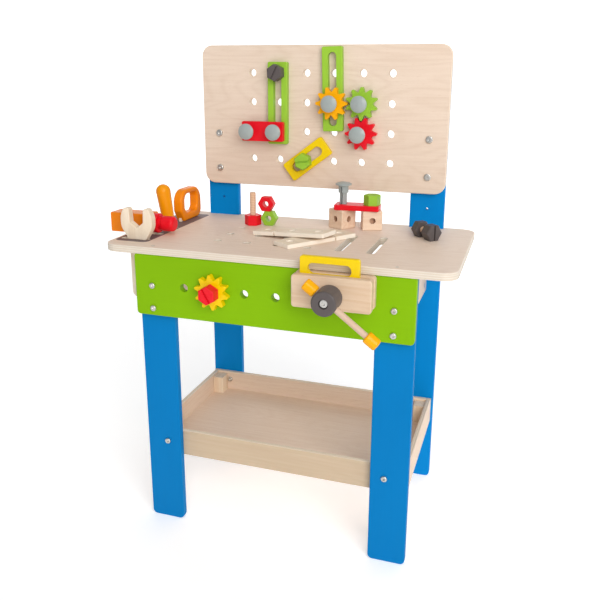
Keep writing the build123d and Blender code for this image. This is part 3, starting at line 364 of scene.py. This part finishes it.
# boards: grain along X for the long ones, along Y for the side panels
boards = {
    # the worktop takes the paler birch, painted light
    "tabletop": {"grain": 0, "thin": 2, "look": litWorktopLook, "shift": (3.1, 7.7, 1.9)},
    "pegboard": {"grain": 0, "thin": 1, "look": birchLook, "shift": (8.4, 1.2, 5.3)},
    "tray_front": {"grain": 0, "thin": 1, "look": trayFrontLook, "shift": (1.1, 4.2, 2.2)},
    # the tray's back and floor take the paler tray ply, painted light
    "tray_back": {"grain": 0, "thin": 1, "look": litTrayLook, "shift": (6.1, 2.2, 7.2)},
    "tray_floor": {"grain": 0, "thin": 2, "look": litTrayLook, "shift": (5.5, 3.2, 0.4)},
    "side_panel_left": {"grain": 1, "thin": 0, "look": birchLook, "shift": (2.5, 6.2, 3.4)},
    "side_panel_right": {"grain": 1, "thin": 0, "look": birchLook, "shift": (7.5, 0.2, 1.4)},
}
madeBoards = {}
for boardName, board in boards.items():
    low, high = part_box(boardName)
    thin = board["thin"]
    made = birchPlywood("birchPlywood_" + boardName, board["grain"], thin, low[thin], high[thin] - low[thin],
                        board["look"], board["shift"])
    dress(made[0], boardName)
    madeBoards[boardName] = made
traySideThick = 8.0 * mm
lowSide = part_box("tray_sides")[0]
# the tray's sides take the paler tray ply too, painted light
traySides = birchPlywood("birchPlywood_traySides", 1, 0, lowSide.x, traySideThick, litTrayLook)
dress(traySides[0], "tray_sides")
dress(lacqueredBeech("lacqueredBeech_trayBlocks", 2), "tray_blocks")

toolStrip = {
    "x": (-274.0, -215.0), "y": (23.0, 265.0), "round": 10.0, "softEdge": 0.4,
    "colour": "#6E5F60", "filmMm": 14.0, "tone": (0.9, 1.1), "facingUp": (0.8, 0.95),
}


# Dark tool strip on the worktop: inside a rounded rectangle, on the top face only.
def paintToolStrip(made, look):
    tree, shader, wood = made[1:]
    low = benchPoint(look["x"][0], look["y"][0], worktopHeight)
    high = benchPoint(look["x"][1], look["y"][1], worktopHeight)
    middle = (low + high) / 2.0
    half = (high - low) / 2.0
    corner = look["round"] * mm
    reach = Vector((half.x - corner, half.y - corner, 1.0))
    place = addNode(tree, "ShaderNodeTexCoord").outputs["Object"]
    away = addNode(tree, "ShaderNodeVectorMath", {0: place, 1: middle}, operation="SUBTRACT")
    outward = addNode(tree, "ShaderNodeVectorMath", {0: away.outputs[0]}, operation="ABSOLUTE")
    past = addNode(tree, "ShaderNodeVectorMath", {0: outward.outputs[0], 1: reach}, operation="SUBTRACT")
    only = addNode(tree, "ShaderNodeVectorMath", {0: past.outputs[0], 1: zero}, operation="MAXIMUM")
    far = addNode(tree, "ShaderNodeVectorMath", {0: only.outputs[0]}, operation="LENGTH")
    links = {"Value": far.outputs["Value"], "From Min": corner, "From Max": corner - look["softEdge"] * mm}
    inside = addNode(tree, "ShaderNodeMapRange", links)
    normal = addNode(tree, "ShaderNodeTexCoord").outputs["Normal"]
    up = addNode(tree, "ShaderNodeSeparateXYZ", {0: normal})
    links = {"Value": up.outputs[2], "From Min": look["facingUp"][0], "From Max": look["facingUp"][1]}
    top = addNode(tree, "ShaderNodeMapRange", links)
    mask = addNode(tree, "ShaderNodeMath", {0: inside.outputs[0], 1: top.outputs[0]}, operation="MULTIPLY")
    links = {"Vector": place, "Scale": 1000.0 / look["filmMm"], "Detail": 4.0}
    film = addNode(tree, "ShaderNodeTexNoise", links)
    links = {"Value": film.outputs[0], "To Min": look["tone"][0], "To Max": look["tone"][1]}
    tone = addNode(tree, "ShaderNodeMapRange", links)
    links = {"Color": linearColour(look["colour"]), "Value": tone.outputs[0]}
    grey = addNode(tree, "ShaderNodeHueSaturation", links)
    links = {"Factor": mask.outputs[0], 6: wood, 7: grey.outputs[0]}
    painted = addNode(tree, "ShaderNodeMix", links, data_type="RGBA")
    tree.links.new(painted.outputs[2], shader.inputs["Base Color"])


paintToolStrip(madeBoards["tabletop"], toolStrip)

paintedBoards = {
    "blue": (2, ("front_leg_left", "front_leg_right")),
    # the rear legs take the paler blue, painted light
    "litRearBlue": (2, ("rear_leg_left", "rear_leg_right")),
    "green": (0, ("front_apron",)),
}
for colourName, (grainAxis, members) in paintedBoards.items():
    dress(satinEnamel("satinEnamel_" + colourName, enamel[colourName], grainAxis, boardPaint), *members)
pieces = {
    "lime": ("green_bar_left", "green_bar_centre", "green_gear", "green_nut", "green_peg_bolt", "green_bolt"),
    "red": ("red_bar", "red_gear", "red_nut", "red_plank", "hammer_face", "red_bolt", "red_apron_bolt"),
    "orange": ("hammer_head",),
    "tangerine": ("saw_handle",),
    "amber": ("screwdriver",),
    "marigold": ("orange_gear", "tommy_caps"),
    "yellow": ("yellow_gear", "grip_plate", "peg_plate"),
    "dark": ("vise_knob", "dark_peg_bolt", "dark_bolt", "dark_nut", "bolt_nuts"),
}
for colourName, members in pieces.items():
    dress(satinEnamel("pieceEnamel_" + colourName, enamel[colourName], 2, piecePaint), *members)
steelNodes = ("frame_bolts", "barrel_nuts", "pegboard_bolts", "table_screws", "knob_bolt")
dress(platedSteel("platedSteel", steelLook), *steelNodes)
dress(mouldedGrey("mouldedGrey", rivetLook), "peg_rivets", "loose_rivet")

jawLook = {**beechLook, "pale": "#DBC3A9", "dark": "#CCAC8C"}
toolLook = {**beechLook, "pale": "#EDDFCA", "dark": "#DFCAB0", "fleckShare": 0.18}
plankLook = {**toolLook, "edge": "#FBF3E6", "edgeShare": 0.62}  # sawn edges and hole walls are paler
cubeLook = {**beechLook, "pale": "#EAD2BA", "dark": "#DCBA9C", "fleckShare": 0.2}
barLook = {**beechLook, "pale": "#D2B8A2", "dark": "#C4A48A", "fleckShare": 0.2}
dress(lacqueredBeech("lacqueredBeech_jaws", 0, look=jawLook), "vise_fixed_jaw", "vise_jaw", "vise_nut_block")
dress(lacqueredBeech("lacqueredBeech_pins", 1, look=jawLook), "vise_guide_pins", "vise_screw")
dress(lacqueredBeech("lacqueredBeech_tools", 2, look=toolLook), "wrench", "hammer_handle", "saw_blade")
# pieces that lie turned, with the turn in degrees that their grain follows
turnedPieces = {
    "tommy_bar": {"look": barLook, "degrees": (0.0, 37.4, 0.0)},
    "lower_plank": {"look": plankLook, "degrees": (0.0, 0.0, 55.5)},
    "upper_plank": {"look": plankLook, "degrees": (0.0, -5.1, -15.8)},
    "cube_left": {"look": cubeLook, "degrees": (0.0, 0.0, -30.5)},
    "cube_right": {"look": cubeLook, "degrees": (0.0, 0.0, 19.0)},
}
# painted shade in the cube bores: it starts this far under the face and is full this far under it, in
# millimetres
cubeBoreShade = {"rimMm": 0.8, "fullMm": 4.0, "share": 0.55, "colour": "#A2663A"}
for pieceName, piece in turnedPieces.items():
    turn = tuple(math.radians(angle) for angle in piece["degrees"])
    boreShade = None
    if piece["look"] is cubeLook:
        low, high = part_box(pieceName)
        boreShade = {**cubeBoreShade, "middle": (low + high) / 2, "turn": turn, "half": (high.z - low.z) / 2}
    dress(lacqueredBeech("lacqueredBeech_" + pieceName, 0, turn, piece["look"], boreShade), pieceName)
print("finishes on", len(nodes), "nodes")


# turned wooden threads over the plain shanks
threadMesh = {"ringsPerPitch": 12, "columns": 40, "eye": 0.3, "ridge": 0.8}


def gridMesh(name, points, grooveShade, material):  # a tube of rings: rows along the axis, columns round it
    rows, columns = points.shape[:2]
    row, column = np.meshgrid(np.arange(rows - 1), np.arange(columns), indexing="ij")
    nextColumn = (column + 1) % columns
    quads = np.stack([row * columns + column, row * columns + nextColumn, (row + 1) * columns + nextColumn,
                      (row + 1) * columns + column], axis=-1).reshape(-1, 4)
    mesh = bpy.data.meshes.new(name)
    mesh.from_pydata(points.reshape(-1, 3).tolist(), [], quads.tolist())
    mesh.polygons.foreach_set("use_smooth", np.ones(len(mesh.polygons), bool))
    # each point keeps how much painted shade its thread hollow gets
    depth = mesh.attributes.new("grooveShade", "FLOAT", "POINT")
    depth.data.foreach_set("value", np.ascontiguousarray(grooveShade.ravel(), dtype=np.float32))
    mesh.materials.append(material)
    mesh.validate()
    mesh.update()
    piece = bpy.data.objects.new(name, mesh)
    bpy.context.scene.collection.objects.link(piece)
    return piece


# Thread: radius is the root plus a rounded ridge that climbs one pitch a turn, faded out at both ends. The
# tube is carried from start to end and closed by a flat ring with a tiny eye at each end.
def threadedRod(name, look, material):
    start, end = Vector(look["start"]), Vector(look["end"])
    axis = (end - start).normalized()
    sideways = axis.orthogonal().normalized()
    upright = axis.cross(sideways)
    length = (end - start).length
    pitch = look["pitch"] * mm
    along = np.linspace(0.0, length, int(length / pitch * threadMesh["ringsPerPitch"]) + 2)
    turn = np.linspace(0.0, 2 * np.pi, threadMesh["columns"], endpoint=False)
    level, angle = np.meshgrid(along, turn, indexing="ij")
    wave = (0.5 - 0.5 * np.cos(2 * np.pi * level / pitch - angle)) ** threadMesh["ridge"]
    fade = np.clip(np.minimum(level, length - level) / pitch, 0.0, 1.0)
    radius = (look["root"] + (look["crest"] - look["root"]) * wave * fade) * mm
    tip = np.full((1, turn.size), threadMesh["eye"] * mm)
    rings = np.concatenate([tip, radius, tip])
    levels = np.concatenate([level[:1], level, level[-1:]])
    angles = np.concatenate([angle[:1], angle, angle[-1:]])
    # painted shade, deepest at the bottom of each hollow between ridges and none on the end rings
    shadeDepth = np.concatenate([tip * 0.0, 1.0 - wave, tip * 0.0])
    across = np.array(sideways) * (rings * np.cos(angles))[..., None]
    across = across + np.array(upright) * (rings * np.sin(angles))[..., None]
    points = np.array(start) + np.array(axis) * levels[..., None] + across
    return gridMesh(name, points, shadeDepth, material)


# the thread hollows take this painted shade colour, at the given share
shankLook = {
    **beechLook, "pale": "#EBCDB2", "dark": "#DDB592", "grooveShade": "#A9764F", "grooveShadeShare": 0.5,
    "rough": 0.58, "specular": 0.25,
}


# Turned beech thread, left bare: flecks along the axis, painted shade in the hollows between rounded ridges.
def turnedBeech(name, axis, turn=zero, look=shankLook):
    material, tree, shader = newMaterial(name)
    grain = grainPattern(tree, {**beechGrain, "axis": axis, "turn": turn})
    wood = woodColour(tree, look, grain)
    shadeDepth = addNode(tree, "ShaderNodeAttribute", attribute_name="grooveShade").outputs["Fac"]
    share = addNode(tree, "ShaderNodeMath", {0: shadeDepth, 1: look["grooveShadeShare"]}, operation="MULTIPLY")
    links = {"Factor": share.outputs[0], 6: wood, 7: linearColour(look["grooveShade"])}
    shaded = addNode(tree, "ShaderNodeMix", links, data_type="RGBA")
    tree.links.new(shaded.outputs[2], shader.inputs["Base Color"])
    surfaceRelief(tree, shader, grain["streak"], look)
    return material


shankThread = {"root": 5.06, "crest": 5.32, "pitch": 3.0}
headHeight = 18.0 * mm  # hexagon head, then the shank
endCover = 0.12 * mm  # the sleeve's end stands this far past the plain shank


def addShank(boltName, start, end, axis, turn=zero):  # bare thread sleeve on one painted bolt
    wood = turnedBeech("turnedBeech_" + boltName, axis, turn)
    sleeve = threadedRod(boltName + "_thread", {**shankThread, "start": start, "end": end}, wood)
    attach(sleeve, boltName)


# bolts that lie along an axis of the bench, head first
straightBolts = {"red_bolt": 2, "dark_peg_bolt": 1, "green_peg_bolt": 1, "red_apron_bolt": 1}
for boltName, axis in straightBolts.items():
    low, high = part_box(boltName)
    start = (low + high) / 2
    end = start.copy()
    start[axis] = low[axis] + headHeight
    end[axis] = high[axis] + endCover
    addShank(boltName, start, end, axis)
lyingBolt = {"turn": math.radians(42.5), "spot": (222.0, 182.0), "height": 502.8, "reach": 58.0}
lyingAxis = Vector((-math.sin(lyingBolt["turn"]), math.cos(lyingBolt["turn"]), 0.0))
lyingHead = benchPoint(*lyingBolt["spot"], lyingBolt["height"])
lyingEnd = lyingHead + lyingAxis * (lyingBolt["reach"] * mm + endCover)
addShank("dark_bolt", lyingHead + lyingAxis * headHeight, lyingEnd, 1, (0.0, 0.0, lyingBolt["turn"]))

# the vise screw: the same thread, larger, in place of the plain rod
screwThread = {"root": 7.7, "crest": 8.95, "pitch": 4.0}
screwGap = 0.2 * mm  # clear of the knob's bolt
low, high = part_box("vise_screw")
middle = (low + high) / 2
screwSpan = {"start": (middle.x, low.y + screwGap, middle.z), "end": (middle.x, high.y, middle.z)}
screwWood = turnedBeech("turnedBeech_viseScrew", 1)
viseScrew = threadedRod("vise_screw_thread", {**screwThread, **screwSpan}, screwWood)
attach(viseScrew, "vise_screw")
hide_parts("vise_screw")
print("threads made")

# pale paper, lit from behind as a light table is: the glow grows from front to back
paperLook = {
    "pale": "#FBFBFB", "dark": "#F6F6F6", "fibreMm": 40.0, "rough": 0.9, "specular": 0.1,
    "glowFrom": (-0.6, 3.0), "glow": (0.19, 0.62),
}


# Studio paper: matt white with a faint fibre mottle.
def studioPaper(name, look):
    material, tree, shader = newMaterial(name)
    place = addNode(tree, "ShaderNodeTexCoord").outputs["Object"]
    links = {"Vector": place, "Scale": 1000.0 / look["fibreMm"], "Detail": 3.0}
    fibre = addNode(tree, "ShaderNodeTexNoise", links)
    links = {"Factor": fibre.outputs[0], 6: linearColour(look["dark"]), 7: linearColour(look["pale"])}
    paper = addNode(tree, "ShaderNodeMix", links, data_type="RGBA")
    tree.links.new(paper.outputs[2], shader.inputs["Base Color"])
    shader.inputs["Roughness"].default_value = look["rough"]
    shader.inputs["Specular IOR Level"].default_value = look["specular"]
    shader.inputs["Emission Color"].default_value = (1.0, 1.0, 1.0, 1.0)
    parts = addNode(tree, "ShaderNodeSeparateXYZ", {0: place})
    (near, far), (faint, bright) = look["glowFrom"], look["glow"]
    links = {"Value": parts.outputs[1], "From Min": near, "From Max": far, "To Min": faint, "To Max": bright}
    glow = addNode(tree, "ShaderNodeMapRange", links)
    tree.links.new(glow.outputs[0], shader.inputs["Emission Strength"])
    return material


sweep = {"front": -4.0, "bend": 2.2, "radius": 1.6, "top": 4.5, "half": 6.0, "steps": 24}  # metres


# Studio sweep: floor line, quarter circle, wall line, carried sideways.
def studioSweep(look, material):
    arc = np.linspace(0.0, np.pi / 2, look["steps"])
    wall = look["bend"] + look["radius"]
    y = np.concatenate([[look["front"]], look["bend"] + look["radius"] * np.sin(arc), [wall]])
    z = np.concatenate([[0.0], look["radius"] * (1 - np.cos(arc)), [look["top"]]])
    x = np.array([-look["half"], look["half"]])
    points = np.stack(np.broadcast_arrays(x[None, :], y[:, None], z[:, None]), axis=-1)
    index = np.arange(y.size - 1)
    quads = np.stack([index * 2, index * 2 + 1, index * 2 + 3, index * 2 + 2], axis=-1)
    mesh = bpy.data.meshes.new("studioSweep")
    mesh.from_pydata(points.reshape(-1, 3).tolist(), [], quads.tolist())
    mesh.polygons.foreach_set("use_smooth", np.ones(len(mesh.polygons), bool))
    piece = bpy.data.objects.new("studioSweep", mesh)
    bpy.context.scene.collection.objects.link(piece)
    mesh.materials.append(material)


studioSweep(sweep, studioPaper("paleStudioPaper", paperLook))

# soft room light, one soft box at the front right and one overhead; places in metres
scene = bpy.context.scene
scene.view_settings.view_transform = "Standard"
roomStrength = 0.40
world = bpy.data.worlds.new("softRoom")
world.use_nodes = True
room = world.node_tree.nodes["Background"]
room.inputs[0].default_value = (1.0, 1.0, 1.0, 1.0)
room.inputs[1].default_value = roomStrength
scene.world = world

softBoxes = {
    "keyBox": {"at": (1.8, -2.6, 1.8), "aim": (0.0, 0.0, 0.45), "size": 2.3, "watts": 88.0},
    "overheadBox": {"at": (0.4, -0.9, 2.9), "aim": (0.0, 0.0, 0.45), "size": 1.6, "watts": 9.0},
}
for boxName, look in softBoxes.items():
    lamp = bpy.data.lights.new(boxName, "AREA")
    lamp.shape = "SQUARE"
    lamp.size = look["size"]
    lamp.energy = look["watts"]
    holder = bpy.data.objects.new(boxName, lamp)
    holder.location = look["at"]
    aim = Vector(look["aim"]) - Vector(look["at"])
    holder.rotation_euler = aim.to_track_quat("-Z", "Y").to_euler()
    scene.collection.objects.link(holder)

# camera at the photograph's place: millimetres on the bench, radians, and pixels of the square picture
lens = {
    "at": (359.5, -939.9, 752.7), "yaw": 0.311, "pitch": 0.269, "roll": 0.005,
    "focalPx": 701.9, "axisPx": (303.4, 266.5), "imagePx": 600.0, "sensorMm": 36.0, "clipEnd": 50.0,
}
camera = bpy.data.cameras.new("photoCamera")
camera.sensor_width = lens["sensorMm"]
camera.lens = lens["focalPx"] / lens["imagePx"] * lens["sensorMm"]
camera.shift_x = -(lens["axisPx"][0] - lens["imagePx"] / 2) / lens["imagePx"]
camera.shift_y = (lens["axisPx"][1] - lens["imagePx"] / 2) / lens["imagePx"]
camera.clip_end = lens["clipEnd"]
viewer = bpy.data.objects.new("photoCamera", camera)
level = Matrix.Rotation(lens["yaw"], 4, "Z") @ Matrix.Rotation(math.pi / 2 - lens["pitch"], 4, "X")
spot = Matrix.Translation(benchPoint(*lens["at"]))
viewer.matrix_world = spot @ level @ Matrix.Rotation(lens["roll"], 4, "Z")
scene.collection.objects.link(viewer)
scene.camera = viewer
print("camera and light ready")
